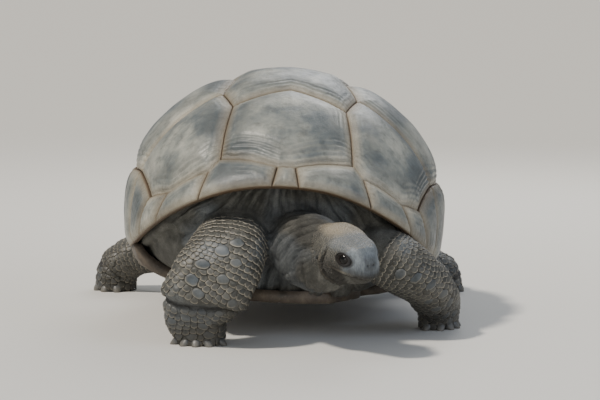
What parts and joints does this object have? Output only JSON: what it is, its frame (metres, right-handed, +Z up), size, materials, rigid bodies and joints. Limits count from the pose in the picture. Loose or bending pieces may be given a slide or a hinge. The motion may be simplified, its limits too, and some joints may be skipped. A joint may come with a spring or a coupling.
{
  "type": "giant tortoise (Aldabra), still life-size model",
  "caption": "Still life-size model of an Aldabra giant tortoise walking with its head low and turned to its left, standing on its own feet.",
  "frame": {"origin": "centre of the whole model's footprint box, on the floor under the soles", "axes": "+Z up; +Y from the head to the tail, so the animal faces -Y; +X to the animal's left"},
  "size_m": [1.001, 1.2568, 0.6089],
  "materials": {
    "carapace": "worn, half matt horn plates, grey-tan with brown seams",
    "plastron": "matt horn plates, scuffed",
    "skin": "dry, wrinkled grey-brown hide with horny scales",
    "scales": "half matt, pale at the edges and blue-grey on the large ones",
    "head": "small dry scales, with a smooth blue-grey plate over the snout",
    "eyes": "wet, glossy, dark brown",
    "claws": "half matt, worn, blue-grey"
  },
  "bodies": {
    "root": {"vertebral_1": "carapace", "vertebral_2": "carapace", "vertebral_3": "carapace", "vertebral_4": "carapace", "vertebral_5": "carapace", "costal_left_1": "carapace", "costal_left_2": "carapace", "costal_left_3": "carapace", "costal_left_4": "carapace", "costal_right_1": "carapace", "costal_right_2": "carapace", "costal_right_3": "carapace", "costal_right_4": "carapace", "nuchal": "carapace", "marginal_left_1": "carapace", "marginal_left_2": "carapace", "marginal_left_3": "carapace", "marginal_left_4": "carapace", "marginal_left_5": "carapace", "marginal_left_6": "carapace", "marginal_left_7": "carapace", "marginal_left_8": "carapace", "marginal_left_9": "carapace", "marginal_left_10": "carapace", "marginal_left_11": "carapace", "marginal_right_1": "carapace", "marginal_right_2": "carapace", "marginal_right_3": "carapace", "marginal_right_4": "carapace", "marginal_right_5": "carapace", "marginal_right_6": "carapace", "marginal_right_7": "carapace", "marginal_right_8": "carapace", "marginal_right_9": "carapace", "marginal_right_10": "carapace", "marginal_right_11": "carapace", "supracaudal": "carapace", "plastron": "plastron", "trunk": "skin", "neck": "skin", "foreleg_left": "skin", "foreleg_right": "skin", "forefoot_left": "skin", "forefoot_right": "skin", "hindleg_left": "skin", "hindleg_right": "skin", "hindfoot_left": "skin", "hindfoot_right": "skin", "tail": "skin", "head": "head", "lower_jaw": "head", "eye_left": "eyes", "eye_right": "eyes"}
  },
  "joints": []
}
